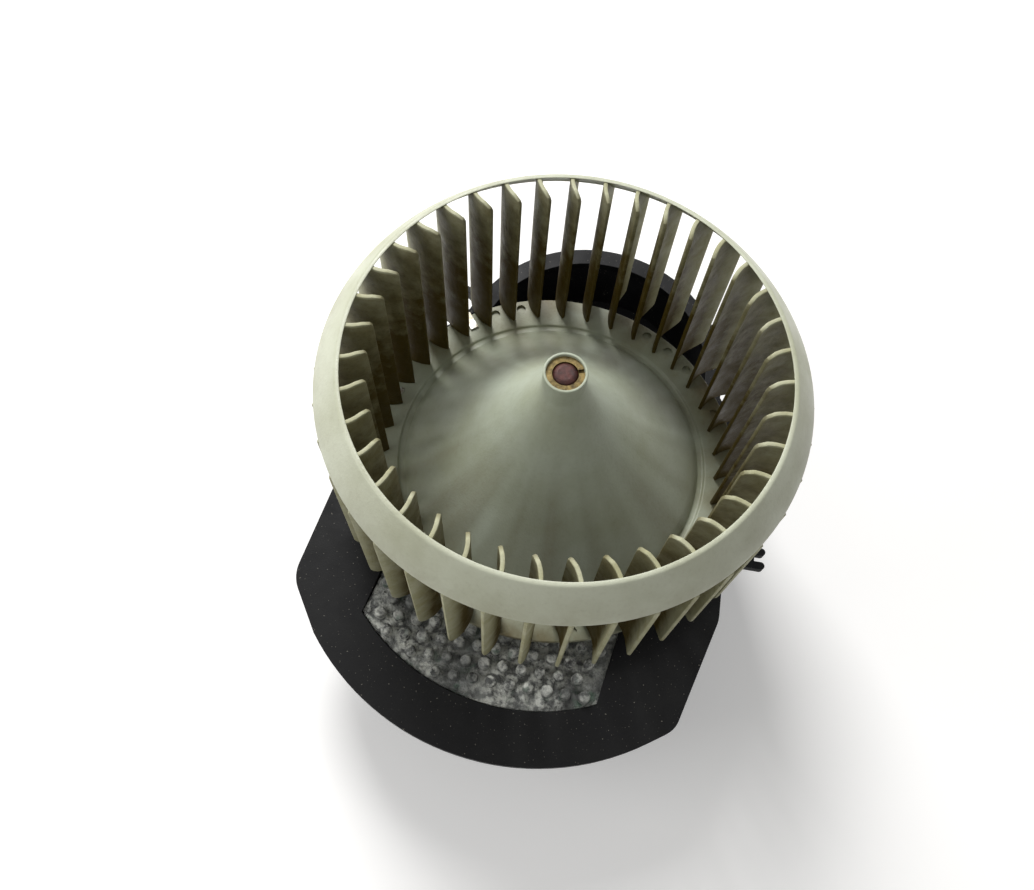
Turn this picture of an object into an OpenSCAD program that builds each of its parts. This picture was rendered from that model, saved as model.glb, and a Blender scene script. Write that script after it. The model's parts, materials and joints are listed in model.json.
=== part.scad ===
// Blower motor wheel: a centrifugal heater wheel on its flange-mounted motor.
// Z runs up along the spin axis. The origin is on that axis, in the bottom of the motor.

/* [Wheel] */
// Largest diameter of the wheel, at the lower edge of the inlet ring
wheel_d = 150; // [130:1:190]
// Height of the wheel, from the blade feet to the top of the inlet ring
wheel_h = 72.4; // [64:0.2:90]
// Number of blades
blade_count = 39; // [24:1:43]
// Angle of the first blade
blade_phase = 3.97; // [0:0.01:9]
// Thickness of a blade
blade_t = 1.3; // [1:0.1:1.8]
// Radius to which a blade is curved in plan
blade_curve_r = 14; // [13:0.5:22]
// Depth of the blades, measured along a radius
blade_depth = 16.2; // [12:0.2:20]
// Rounding of the lower outer corner of a blade
blade_foot_r = 4.5; // [2:0.5:7]
// Rounding of the upper inner corner of a blade
blade_nose_r = 2.6; // [1:0.2:4]

/* [Inlet ring] */
// How far the ring flares outwards, from its lip to its lower edge
ring_flare = 8; // [5:0.5:9]
// Height of the ring
ring_h = 11.4; // [8:0.2:16]
// Wall of the ring
ring_t = 1.5; // [1.2:0.1:2.2]

/* [Hub] */
// Radius of the flat annulus that carries the blade feet
annulus_r = 66.3; // [63:0.1:70]
// Radius where the dome starts, inside the groove
dome_r = 52; // [46:0.5:54]
// Wall of the annulus and dome
hub_t = 2; // [1.6:0.1:2.6]
// Outer radius of the boss
boss_r = 6.8; // [6.6:0.1:9]
// How far the mouth of the boss lies below the top of the ring
boss_drop = 7.4; // [4:0.2:12]
// Straight length of the boss above the dome
boss_len = 8; // [5:0.5:12]
// How strongly the dome flares: 1 is a plain cone
dome_power = 0.75; // [0.65:0.01:1]
// Radius of the circle of balance pockets
pocket_pcd_r = 63; // [60:0.2:64]
// Radius of a balance pocket
pocket_r = 1.7; // [1.2:0.1:2]

/* [Shaft and armature] */
// Diameter of the motor shaft
shaft_d = 8; // [6:0.5:9]
// Running clearance of the shaft in its bearings, on the radius
run_clear = 0.03; // [0.02:0.01:0.08]
// Outer radius of the steel insert in the boss
insert_r = 5.9; // [5.7:0.1:6]
// Length of the steel insert
insert_len = 22; // [16:1:24]
// Radius of the armature core
core_r = 22.4; // [18:0.2:23]
// Height of the armature core
core_h = 30; // [22:1:34]
// Number of armature slots
slot_count = 12; // [8:1:16]
// Air gap between the armature and the magnets
air_gap = 0.8; // [0.5:0.1:1.5]
// Radius of the commutator
comm_r = 11; // [9:0.5:12]

/* [Motor] */
// Outer radius of the motor can
can_r = 31; // [29.5:0.5:32]
// Wall of the motor can
can_t = 2; // [1.5:0.1:2.4]
// Height of the top of the can above the flange's underside
can_top = 31; // [28:0.5:32]
// Depth of the bottom of the motor below the flange's underside
motor_drop = 46; // [44:1:60]
// Outer radius of a bearing
bearing_r = 8; // [7:0.5:9]
// Length of a bearing
bearing_len = 7; // [5:0.5:8]

/* [Flange] */
// Thickness of the flange plate
flange_t = 3.5; // [2.5:0.1:5]
// Gap between the flange and the blade feet
wheel_gap = 13.5; // [12:0.5:24]
// Radius of the front edge of the flange
front_r = 89; // [86:0.5:96]
// Radius of the round middle of the flange, under the wheel
middle_r = 74; // [68:0.5:76]
// Outer radius of the rear lobe
lobe_r = 52.3; // [48:0.2:56]
// Width of the rim round the opening in the rear lobe
lobe_rim = 7; // [5:0.5:9]
// Height of the skirt under the edge of the flange
skirt_h = 7; // [4:0.5:9]
// Wall of the skirt, the duct and the covers
wall_t = 2; // [1.6:0.1:3]
// Radius of the hole in the mounting eyelet
eyelet_hole_r = 5.7; // [3:0.1:6]
// Wall of the mounting eyelet
eyelet_wall = 2.4; // [1.6:0.1:3]

/* [Heat sink and regulator] */
// Outer radius of the heat sink
sink_r = 74.4; // [70:0.2:77]
// Diameter of a heat sink pin
pin_d = 3.6; // [2.5:0.1:4.2]
// Distance between heat sink pins
pin_pitch = 6.4; // [5.6:0.1:9]
// Height of a heat sink pin above its plate
pin_h = 5; // [3:0.5:8]
// Depth of the regulator cover below the flange
cover_drop = 27; // [24:1:34]
// Clearance round parts that are set into an opening
fit_gap = 0.4; // [0.3:0.05:0.6]

/* [Hidden] */

$fn = 96;
eps = 0.01;

// Heights of the wheel
z_foot = flange_t + wheel_gap;
z_top = z_foot + wheel_h;
z_boss = z_top - boss_drop;
z_dome_top = z_boss - boss_len;
z_dome_edge = z_foot + 0.8;
wheel_r = wheel_d / 2;
lip_r = wheel_r - ring_flare;
blade_in_r = wheel_r - blade_depth;
blade_pitch = 360 / blade_count;
groove_w = 3.2;
groove_drop = 0.8;
// Steps of the ring's curved section, and the drop from its lip to the blade tips
ring_steps = 10;
tip_drop = 0.4;
// A dome wall measured upright is thicker than the same wall measured square to it
dome_drop = hub_t * 1.35;
pocket_depth = 1.1;
// Blade gaps that hold a balance pocket, and the gaps that hold a clip
pocket_gaps = [2, 4, 5, 6, 11, 12, 13, 17, 30];
clip_gaps = [13, 17];

// Heights of the motor
shaft_r = shaft_d / 2;
shaft_tip = z_boss - 0.5;
insert_top = z_boss - 1;
core_low = -10;
core_top = core_low + core_h;
comm_h = 12;
comm_top = core_low - 9;
winding_h = 6.5;
can_low = -30;
cup_wall = 1.6;
cup_r = bearing_r + cup_wall;
cap_floor = -motor_drop + 2;
low_bearing_top = cap_floor + bearing_len;
shaft_low = cap_floor + 0.6;
up_bearing_low = can_top - can_t;
magnet_in = core_r + air_gap;
magnet_out = can_r - can_t - 0.05;
card_low = -33.5;
card_t = 1.8;
brush_w = 6;
brush_h = 8;
riser_h = 2.2;
brush_z = comm_top - riser_h - 0.8 - brush_h / 2;
brush_in = comm_r + 0.05;
brush_out = brush_in + 8.6;
spring_end = can_r - can_t - 1.2;

// Motor mounting
ear_angles = [80, 200, 320];
ear_r = 39;
ring_z = -16;
ring_hgt = 8;
ear_t = 2;
ear_z = ring_z + ring_hgt - ear_t;
grommet_r = 5.6;
grommet_hole_r = 4;
mount_web = 11;
post_r = 4.4;
screw_r = 1.9;
grommet_low = ear_z - 2.4;
grommet_top = ear_z + ear_t + 2.4;
motor_hole_r = can_r + 3.4;

// Plan of the flange
front_c = [-2.6, -16.5];
lobe_c = [8.9, 49.6];
well_in_r = 61;
eyelet_c = [-47, 66];
eyelet_t = 5;
fork_y = -20;
fork_tip_x = 82;

// Plan of the heat sink: an arc outside, the motor's side inside and two straight ends
sink_c = [-1.6, -13];
sink_in_r = 50;
sink_ends = [[[-50.2, -34], [-56.6, -65]], [[28.4, -81], [34.6, -46]]];
sink_rim = 3;
gasket_t = 0.8;
sink_plate_t = 3.5;
sink_low = -gasket_t - sink_plate_t;
sink_face = flange_t - 1;
sink_screw_r = 1.6;
screw_ear_r = 3.6;
ear_web = 5.6;
cover_ear_t = 3;
ear_reach = sink_rim + 3.2;
// Each screw ear of the heat sink: its angle, and the direction back to the plate
sink_ears = [
    for (a = [-118, -72]) [sink_c + (sink_r + ear_reach) * [cos(a), sin(a)], a + 180],
    for (a = [-128, -72]) [(sink_in_r - ear_reach) * [cos(a), sin(a)], a]];
sink_spots = [for (e = sink_ears) e[0]];
board_z = -15;
board_t = 1.6;
board_in = 2.6;
post_spots = [for (a = [-125, -95, -70]) sink_c + (sink_r - 12) * [cos(a), sin(a)]];
chip_spots = [[-30, -68], [-8, -72]];
plug_w = 22;
plug_h = 12;
plug_len = 15;
plug_z = -18;
plug_wall = 1.8;
plug_side = sink_ends[1][1] - sink_ends[1][0];
plug_turn = atan2(plug_side.y, plug_side.x) - 90;
plug_pos = sink_ends[1][0] + plug_side / 2;
pin_places = [-6, 0, 6];

// Cooling duct under the rear lobe
duct_low = -26;
channel_angle = 112;
channel_w = 14;
channel_h = 8;
channel_low = duct_low;
duct_ear_r = (lobe_rim - wall_t) / 2;
duct_spots = [for (a = [30, 90, 150]) lobe_c + (lobe_r - duct_ear_r) * [cos(a), sin(a)]];

// Leads from the brush card to the control board
lead_r = 1.1;
lead_angles = [-112, -98];
lead_z = card_low - 1.3;
lead_out = 53;

function unit(v) = v / norm(v);
function arc(c, r, a0, a1, n) =
    [for (i = [0:n]) c + r * [cos(a0 + (a1 - a0) * i / n), sin(a0 + (a1 - a0) * i / n)]];
function turn(a) = a > 180 ? a - 360 : a < -180 ? a + 360 : a;
// Points that round the corner p between the points a and b
function corner(a, p, b, r, n = 8) =
    let (u = unit(a - p), v = unit(b - p), half = acos(u * v) / 2)
    let (c = p + unit(u + v) * r / sin(half))
    let (s = p + u * r / tan(half) - c, e = p + v * r / tan(half) - c)
    let (a0 = atan2(s.y, s.x), da = turn(atan2(e.y, e.x) - atan2(s.y, s.x)))
    arc(c, r, a0, a0 + da, n);
function dome_z(r) =
    z_dome_top - (z_dome_top - z_dome_edge) * pow((r - boss_r) / (dome_r - boss_r), dome_power);
function ring_x(k) = lip_r + ring_flare * sin(90 * k) * 0.35 + ring_flare * 0.65 * k;

// Heights are reckoned from the flange's underside, and the part stands on the bottom of its motor
module up() {
    translate([0, 0, motor_drop]) children();
}

module spin(angles) {
    for (a = angles) rotate([0, 0, a]) children();
}

module tube(r_out, r_in, z0, z1) {
    translate([0, 0, z0]) difference() {
        cylinder(r = r_out, h = z1 - z0);
        translate([0, 0, -1]) cylinder(r = r_in, h = z1 - z0 + 2);
    }
}

// ---- wheel ----

// One blade in plan, curved so that both its edges lean the way the wheel turns
module blade_plan() {
    intersection() {
        translate([lip_r, -blade_curve_r]) difference() {
            circle(r = blade_curve_r + blade_t / 2);
            circle(r = blade_curve_r - blade_t / 2);
        }
        translate([blade_in_r - 2, -blade_curve_r * 0.42]) square([blade_depth + 4, blade_curve_r]);
    }
}

// Inner radius of the ring at a depth below its lip, on the straight run between two of its steps
function ring_in(depth) =
    let (step = ring_h / ring_steps, i = floor(depth / step), t = depth / step - i)
    ring_x(i / ring_steps) * (1 - t) + ring_x((i + 1) / ring_steps) * t - ring_t;

// Half section of the space that the blades fill, from the annulus up to the inside of the ring
module blade_section() {
    out_r = wheel_r - 0.2;
    polygon(concat(
        [[blade_in_r, z_foot]],
        corner([blade_in_r, z_foot], [out_r, z_foot], [out_r, z_top - ring_h], blade_foot_r),
        [[out_r, z_top - ring_h]],
        [for (i = [ring_steps:-1:1]) [ring_x(i / ring_steps) - ring_t, z_top - ring_h * i / ring_steps]],
        [[ring_in(tip_drop), z_top - tip_drop]],
        corner([ring_in(tip_drop), z_top - tip_drop], [blade_in_r, z_top - tip_drop], [blade_in_r, z_foot],
            blade_nose_r)));
}

module wheel_blades() {
    up() color("#8d8a62") intersection() {
        translate([0, 0, z_foot - 1]) linear_extrude(wheel_h + 1)
            for (i = [0:blade_count - 1]) rotate(blade_phase + blade_pitch * i) blade_plan();
        rotate_extrude() blade_section();
    }
}

module inlet_ring() {
    drops = [for (i = [0:ring_steps]) i / ring_steps];
    up() color("#c6c9b2") rotate_extrude() polygon(concat(
        [for (d = drops) [ring_x(d), z_top - ring_h * d]],
        [for (i = [ring_steps:-1:0]) [ring_x(drops[i]) - ring_t, z_top - ring_h * drops[i]]]));
}

module hub_shell() {
    steps = 14;
    inner_r = shaft_r + 6.4;
    rs = [for (i = [0:steps]) boss_r + (dome_r - boss_r) * pow(i / steps, 1.5)];
    rotate_extrude() polygon(concat(
        [[insert_r, z_boss], [boss_r, z_boss]],
        [for (r = rs) [r, dome_z(r)]],
        [[dome_r + 0.6, z_foot - groove_drop], [dome_r + groove_w - 0.6, z_foot - groove_drop]],
        [[dome_r + groove_w, z_foot], [annulus_r - 0.6, z_foot], [annulus_r, z_foot - 0.6]],
        [[annulus_r, z_foot - hub_t], [dome_r + groove_w, z_foot - hub_t]],
        [[dome_r + groove_w - 1, z_foot - hub_t - groove_drop], [dome_r - 1, z_foot - hub_t - groove_drop]],
        [for (i = [steps - 1:-1:0]) if (rs[i] > inner_r) [rs[i], dome_z(rs[i]) - dome_drop]],
        [[inner_r, dome_z(inner_r) - dome_drop], [inner_r, insert_top - insert_len]],
        [[insert_r, insert_top - insert_len]]));
}

module wheel_hub() {
    up() color("#b3bba8") difference() {
        hub_shell();
        for (g = pocket_gaps) rotate([0, 0, blade_phase + blade_pitch * (g + 0.42)])
            translate([pocket_pcd_r, 0, z_foot - pocket_depth]) cylinder(r = pocket_r, h = 3, $fn = 24);
    }
}

module hub_insert() {
    up() color("#9c8a55") difference() {
        tube(insert_r, shaft_r, insert_top - insert_len, insert_top);
        translate([0, 0, insert_top]) rotate([0, 0, 20]) translate([shaft_r, -0.6, -1]) cube([3, 1.2, 3]);
    }
}

// Spring clips that grip the annulus edge between two blades
module balance_clips() {
    up() color("#9fa3a0") for (g = clip_gaps) rotate([0, 0, blade_phase + blade_pitch * (g + 0.42)]) {
        reach = annulus_r - pocket_pcd_r + 3.4;
        difference() {
            translate([pocket_pcd_r - 3, -1.6, z_foot - hub_t - 0.8]) cube([reach + 0.5, 3.2, hub_t + 1.6]);
            translate([pocket_pcd_r - 4, -3, z_foot - hub_t - 0.05]) cube([reach + 0.8, 6, hub_t + 0.1]);
        }
    }
}

// ---- armature ----

module motor_shaft() {
    up() color("#5a2f2c") rotate_extrude() polygon(concat(
        [[0, shaft_low], [shaft_r - 0.5, shaft_low], [shaft_r, shaft_low + 0.5]],
        corner([shaft_r, 0], [shaft_r, shaft_tip], [0, shaft_tip], 1.8, 6),
        [[0, shaft_tip]]));
}

module armature_core() {
    up() color("#6d6f73") difference() {
        tube(core_r, shaft_r, core_low, core_top);
        spin([for (i = [0:slot_count - 1]) i * 360 / slot_count]) {
            translate([0, 0, core_low - 1]) linear_extrude(core_h + 2) {
                translate([core_r - 2, -0.9]) square([4, 1.8]);
                translate([core_r - 5.4, 0]) circle(r = 3.1, $fn = 24);
                translate([core_r - 10, 0]) circle(r = 1.9, $fn = 24);
                translate([core_r - 10, -1.9]) square([4.6, 3.8]);
            }
        }
    }
}

module armature_windings() {
    up() color("#a5622c") {
        spin([for (i = [0:slot_count - 1]) i * 360 / slot_count])
            translate([core_r - 5.6, 0, core_low - 1]) cylinder(r = 2.6, h = core_h + 2, $fn = 24);
        for (z = [core_top + 0.2, core_low - 0.2 - winding_h]) translate([0, 0, z]) rotate_extrude()
            polygon(concat([[shaft_r + 4, 0], [core_r - 2.8, 0]],
                corner([core_r - 2.8, 0], [core_r - 2.8, winding_h], [shaft_r + 4, winding_h], 3),
                corner([core_r - 2.8, winding_h], [shaft_r + 4, winding_h], [shaft_r + 4, 0], 3)));
    }
}

module commutator() {
    segments = 2 * slot_count;
    up() color("#b0703c") difference() {
        union() {
            tube(comm_r, shaft_r, comm_top - comm_h, comm_top);
            tube(comm_r + 1.2, shaft_r, comm_top - riser_h, comm_top);
        }
        spin([for (i = [0:segments - 1]) i * 360 / segments])
            translate([comm_r - 0.7, -0.25, comm_top - comm_h - 1]) cube([3, 0.5, comm_h + 2]);
    }
}

module thrust_washers() {
    up() color("#d8cfa8") {
        tube(shaft_r + 2.6, shaft_r + run_clear, up_bearing_low - 1.4, up_bearing_low - 0.4);
        tube(shaft_r + 2.6, shaft_r + run_clear, low_bearing_top + 0.4, low_bearing_top + 1.4);
    }
}

// ---- motor ----

module motor_can() {
    low = can_low;
    inner = can_r - can_t;
    top = can_top;
    cup_top = up_bearing_low + bearing_len + 1.6;
    up() color("#8d9094") difference() {
        rotate_extrude() polygon(concat(
            [[inner, low], [can_r, low]],
            corner([can_r, low], [can_r, top], [cup_r, top], 4),
            [[cup_r, top], [cup_r, cup_top], [shaft_r + 1, cup_top], [shaft_r + 1, cup_top - 1.6]],
            [[bearing_r, cup_top - 1.6], [bearing_r, top - can_t]],
            corner([bearing_r, top - can_t], [inner, top - can_t], [inner, low], 2.2)));
        // Vents in the top of the can
        spin([0, 90, 180, 270]) translate([19, 0, top - can_t - 1]) cylinder(r = 3.4, h = can_t + 2);
        // Inlet for the cooling air, towards the duct
        rotate([0, 0, channel_angle]) translate([can_r - 8, -channel_w / 2, channel_low + wall_t])
            cube([10, channel_w, channel_h]);
    }
}

module field_magnets() {
    span = 128;
    up() color("#3c3d40") for (side = [0, 180]) rotate([0, 0, side]) difference() {
        tube(magnet_out, magnet_in, core_low - 3, core_top + 3);
        rotate([0, 0, -span / 2]) translate([-50, -100, -50]) cube([100, 100, 100]);
        rotate([0, 0, span / 2]) translate([-50, 0, -50]) cube([100, 100, 100]);
    }
}

module upper_bearing() {
    up() color("#b08d57") tube(bearing_r, shaft_r + run_clear, up_bearing_low, up_bearing_low + bearing_len);
}

module lower_bearing() {
    up() color("#b08d57") tube(bearing_r, shaft_r + run_clear, cap_floor, low_bearing_top);
}

module bearing_retainers() {
    up() color("#b9bcc0") {
        tube(cup_r + 2, shaft_r + 3.2, low_bearing_top, low_bearing_top + 0.4);
        difference() {
            tube(cup_r + 2, shaft_r + 3.2, can_top - can_t - 0.4, can_top - can_t);
            spin([45, 135, 225, 315]) translate([cup_r, -0.8, can_top - can_t - 1]) cube([4, 1.6, 2]);
        }
    }
}

module end_cap() {
    up() color("#2c2d2f") difference() {
        union() {
            tube(can_r, can_r - 2.5, -motor_drop, can_low);
            tube(can_r - 1, bearing_r, -motor_drop, cap_floor);
            translate([0, 0, -motor_drop]) cylinder(r = cup_r, h = cap_floor + motor_drop - 0.001);
            tube(cup_r, bearing_r, -motor_drop, low_bearing_top);
            tube(can_r - 1, can_r - 4.5, -motor_drop, card_low);
        }
        spin([30, 90, 150, 210, 270, 330]) translate([19, 0, -motor_drop - 1]) cylinder(r = 3, h = 4);
        spin(lead_angles) translate([can_r - 6, -lead_r - 0.2, lead_z - lead_r - 0.2])
            cube([8, 2 * lead_r + 0.4, 20]);
    }
}

module brush_card() {
    up() color("#4a3a2a") {
            tube(can_r - 2.6, comm_r + 2.5, card_low, card_low + card_t);
            // Guides on both sides of each brush
            for (side = [0, 180], y = [-1, 1]) rotate([0, 0, side])
                translate([comm_r + 2.6, y * (brush_w / 2 + 0.85) - 0.75, card_low])
                    cube([spring_end - comm_r - 2.6, 1.5, brush_z + brush_h / 2 - card_low]);
            for (side = [0, 180]) rotate([0, 0, side]) {
                translate([spring_end - 1.2, -brush_w / 2 - 1.6, card_low])
                    cube([1.2, brush_w + 3.2, brush_z + brush_h / 2 - card_low]);
                translate([comm_r + 2.6, -brush_w / 2 - 0.2, card_low])
                    cube([spring_end - comm_r - 3, brush_w + 0.4, brush_z - brush_h / 2 - 0.1 - card_low]);
            }
    }
}

module carbon_brushes() {
    up() color("#26272a") for (side = [0, 180]) rotate([0, 0, side]) difference() {
        translate([comm_r - 1.5, -brush_w / 2, brush_z - brush_h / 2])
            cube([brush_out - comm_r + 1.5, brush_w, brush_h]);
        translate([0, 0, brush_z - brush_h]) cylinder(r = brush_in + 0.25, h = 2 * brush_h);
    }
}

module brush_springs() {
    turns = 4;
    len = spring_end - 1.2 - brush_out - 0.1;
    up() color("#a8abad") for (side = [0, 180]) rotate([0, 0, side])
        translate([brush_out + 0.05, 0, brush_z]) rotate([0, 90, 0])
            linear_extrude(height = len, twist = -360 * turns, slices = 64, segments = 6, $fn = 6)
                translate([2.1, 0]) circle(r = 0.42, $fn = 6);
}

module mounting_ring() {
    up() color("#84888c") difference() {
        union() {
            translate([0, 0, ring_z]) cylinder(r = can_r + 1.6, h = ear_z + 1 - ring_z);
            translate([0, 0, ear_z]) linear_extrude(ear_t) {
                circle(r = can_r + 4);
                for (a = ear_angles) rotate(a) {
                    translate([ear_r, 0]) circle(r = grommet_hole_r + 2.6);
                    translate([0, -mount_web / 2]) square([ear_r, mount_web]);
                }
            }
        }
        translate([0, 0, ring_z - 1]) cylinder(r = can_r, h = ring_hgt + 2);
        spin(ear_angles) translate([ear_r, 0, ear_z - 1]) cylinder(r = grommet_hole_r, h = ear_t + 2);
    }
}

module isolator_grommets() {
    up() color("#1f1f20") spin(ear_angles) translate([ear_r, 0, 0]) {
        tube(grommet_r, screw_r, grommet_low, ear_z);
        tube(grommet_hole_r, screw_r, grommet_low, grommet_top);
        tube(grommet_r, screw_r, ear_z + ear_t, grommet_top);
    }
}

module screw(len, head_r, head_h) {
    difference() {
        union() {
            translate([0, 0, -len]) cylinder(r = screw_r, h = len);
            cylinder(r = head_r, h = head_h);
        }
        translate([0, 0, head_h - 1.2]) cylinder(r = 1.6, h = 2, $fn = 6);
    }
}

module motor_screws() {
    up() color("#c3c6c8") spin(ear_angles) translate([ear_r, 0, grommet_low]) rotate([180, 0, 0])
        screw(-grommet_low - 1, 3.8, 2.2);
}

// ---- flange ----

module flange_plan() {
    left = [-83, -55];
    right = [55.6, -84.6];
    side = [67.2, -45];
    start = [-71, -73.6];
    stop = [47, -90.3];
    a0 = atan2(start.y - front_c.y, start.x - front_c.x);
    a1 = atan2(stop.y - front_c.y, stop.x - front_c.x);
    circle(r = middle_r);
    translate(lobe_c) circle(r = lobe_r);
    polygon(concat([[-72, 12]], corner([-72, 12], left, start, 13), arc(front_c, front_r, a0, a1, 32),
        corner(stop, right, side, 9), corner(right, side, [67.2, 0], 14), [[67.2, 0]]));
}

// Opening in the rear lobe: the lobe's own arc outside and the wheel's round inside
module well_plan(grow = 0) {
    difference() {
        translate(lobe_c) circle(r = lobe_r - lobe_rim + grow);
        circle(r = well_in_r - grow);
    }
}

// A point on one straight end of the heat sink, with that end moved outwards
function sink_line(end, t, grow) =
    let (p = sink_ends[end], d = unit(p[1] - p[0]))
    p[0] + d * t + [d.y, -d.x] * grow;

// The heat sink's outline, grown on all sides
module sink_plan(grow = 0) {
    far = 160;
    inner = 48;
    difference() {
        intersection() {
            translate(sink_c) circle(r = sink_r + grow);
            polygon([sink_line(0, -12, grow), sink_line(0, far, grow), sink_line(1, -far, grow),
                sink_line(1, inner, grow)]);
        }
        circle(r = sink_in_r - grow);
    }
}

module at(spots) {
    for (p = spots) translate([p.x, p.y, 0]) children();
}

module flange() {
    up() color("#1d1d1f") difference() {
        union() {
            linear_extrude(flange_t) flange_plan();
            // Stiffening rib under the front edge
            translate([0, 0, -skirt_h]) linear_extrude(skirt_h + 1) intersection() {
                translate(front_c) difference() {
                    circle(r = front_r - 2);
                    circle(r = front_r - 2 - wall_t);
                }
                translate([-64, -120]) square([108, 55]);
            }
            // Collar round the motor
            tube(motor_hole_r + wall_t, motor_hole_r, -5, flange_t + 4);
            at([for (a = ear_angles) ear_r * [cos(a), sin(a)]]) translate([0, 0, grommet_top])
                cylinder(r = post_r, h = 1 - grommet_top);
            // Eyelet and its web
            translate([eyelet_c.x, eyelet_c.y, 0]) cylinder(r = eyelet_hole_r + eyelet_wall, h = eyelet_t);
            translate([eyelet_c.x + 2, eyelet_c.y - 14, 0]) cube([22, 15, flange_t]);
            // Fork at the side
            translate([60, fork_y - 4, 0]) cube([fork_tip_x - 61.5, 8, flange_t]);
            for (y = [-2.6, 2.6]) translate([fork_tip_x - 1.5, fork_y + y, 0])
                cylinder(r = 1.4, h = flange_t);
        }
        translate([0, 0, -10]) cylinder(r = motor_hole_r, h = 30);
        translate([0, 0, -1]) linear_extrude(flange_t + 5) sink_plan();
        translate([0, 0, -1]) linear_extrude(flange_t + 5) well_plan();
        translate([eyelet_c.x, eyelet_c.y, -1]) cylinder(r = eyelet_hole_r, h = 30);
        translate([fork_tip_x - 4, fork_y - 1.2, -1]) cube([8, 2.4, flange_t + 2]);
        at([for (a = ear_angles) ear_r * [cos(a), sin(a)]]) translate([0, 0, grommet_top - 1])
            cylinder(r = screw_r, h = -grommet_top);
        at(sink_spots) translate([0, 0, -1]) cylinder(r = sink_screw_r, h = 3.4);
        at(duct_spots) translate([0, 0, -1]) cylinder(r = sink_screw_r, h = 3.4);
    }
}

module cooling_duct() {
    up() color("#232325") difference() {
        union() {
            translate([0, 0, duct_low]) linear_extrude(-duct_low) well_plan(wall_t);
            rotate([0, 0, channel_angle]) translate([can_r + 2.4, -channel_w / 2 - wall_t, duct_low])
                cube([well_in_r - can_r + 2, channel_w + 2 * wall_t, channel_h + 2 * wall_t]);
            at(duct_spots) translate([0, 0, -3]) cylinder(r = duct_ear_r + 0.4, h = 3);
        }
        translate([0, 0, duct_low + wall_t]) linear_extrude(-duct_low) well_plan();
        rotate([0, 0, channel_angle]) translate([can_r, -channel_w / 2, duct_low + wall_t])
            cube([well_in_r - can_r + 8, channel_w, channel_h]);
        at(duct_spots) translate([0, 0, -4]) cylinder(r = sink_screw_r, h = 5);
    }
}

module duct_screws() {
    up() color("#c3c6c8") at(duct_spots) translate([0, 0, -3]) rotate([180, 0, 0])
        small_screw(5, duct_ear_r - 0.2);
}

module small_screw(len, head_r) {
    difference() {
        union() {
            translate([0, 0, -len]) cylinder(r = sink_screw_r, h = len);
            cylinder(r = head_r, h = 1.8);
        }
        translate([0, 0, 0.8]) cylinder(r = 1.3, h = 2, $fn = 6);
    }
}

// ---- heat sink and regulator ----

function in_sink(p, edge) =
    p.y < sink_c.y && norm(p - sink_c) < sink_r - edge && norm(p) > sink_in_r + edge
    && min([for (e = sink_ends) let (d = unit(e[1] - e[0])) (p - e[0]) * [-d.y, d.x]]) > edge;

module ear_plan() {
    for (e = sink_ears) translate(e[0]) rotate(e[1]) {
        circle(r = screw_ear_r);
        translate([0, -ear_web / 2]) square([ear_reach - 1.6, ear_web]);
    }
}

module heat_sink() {
    rows = floor(sink_r / pin_pitch / 0.866);
    pins = [for (j = [-rows:rows], i = [-rows:rows])
        let (p = sink_c + pin_pitch * [i + (j % 2 == 0 ? 0 : 0.5), j * 0.866])
        if (in_sink(p, pin_d / 2 + 0.8)) p];
    up() color("#7d807d") difference() {
        union() {
            translate([0, 0, sink_low]) linear_extrude(sink_plate_t) {
                sink_plan(sink_rim);
                ear_plan();
            }
            translate([0, 0, sink_low + 1]) linear_extrude(sink_face - sink_low - 1) sink_plan(-fit_gap);
            at(pins) translate([0, 0, sink_face - 1]) cylinder(r = pin_d / 2, h = pin_h + 1, $fn = 24);
        }
        at(sink_spots) translate([0, 0, sink_low - 1]) cylinder(r = sink_screw_r, h = sink_plate_t + 2);
    }
}

module sink_gasket() {
    up() color("#4b4a44") translate([0, 0, -gasket_t]) linear_extrude(gasket_t) difference() {
        sink_plan(sink_rim);
        sink_plan(0.4);
        at(sink_spots) circle(r = sink_screw_r + 0.4);
    }
}

module power_transistors() {
    up() color("#242426") at(chip_spots) {
        translate([-5, -7.5, sink_low - 4.4]) cube([10, 15, 4.4]);
        for (x = [-2.5, 0, 2.5]) translate([x - 0.4, 7, sink_low - 2.4]) {
            cube([0.8, 3.4, 0.6]);
            translate([0, 2.6, board_z + board_t - sink_low + 2.4])
                cube([0.8, 0.8, sink_low - 2.4 - board_z - board_t + 0.3]);
        }
    }
}

module control_board() {
    up() color("#2f5d3a") translate([0, 0, board_z]) linear_extrude(board_t) sink_plan(-board_in);
}

module filter_capacitor() {
    up() color("#2b3350") translate([18, -58, board_z + board_t + 4.02]) rotate([0, 0, 75]) rotate([0, 90, 0])
        translate([0, 0, -8]) cylinder(r = 4, h = 16);
}

module suppression_choke() {
    up() color("#8a5a2b") translate([8, -66, board_z - 3.2]) rotate_extrude() translate([6, 0])
        circle(r = 3, $fn = 24);
}

module plug_frame() {
    translate([plug_pos.x, plug_pos.y, plug_z]) rotate([0, 0, plug_turn]) children();
}

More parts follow.
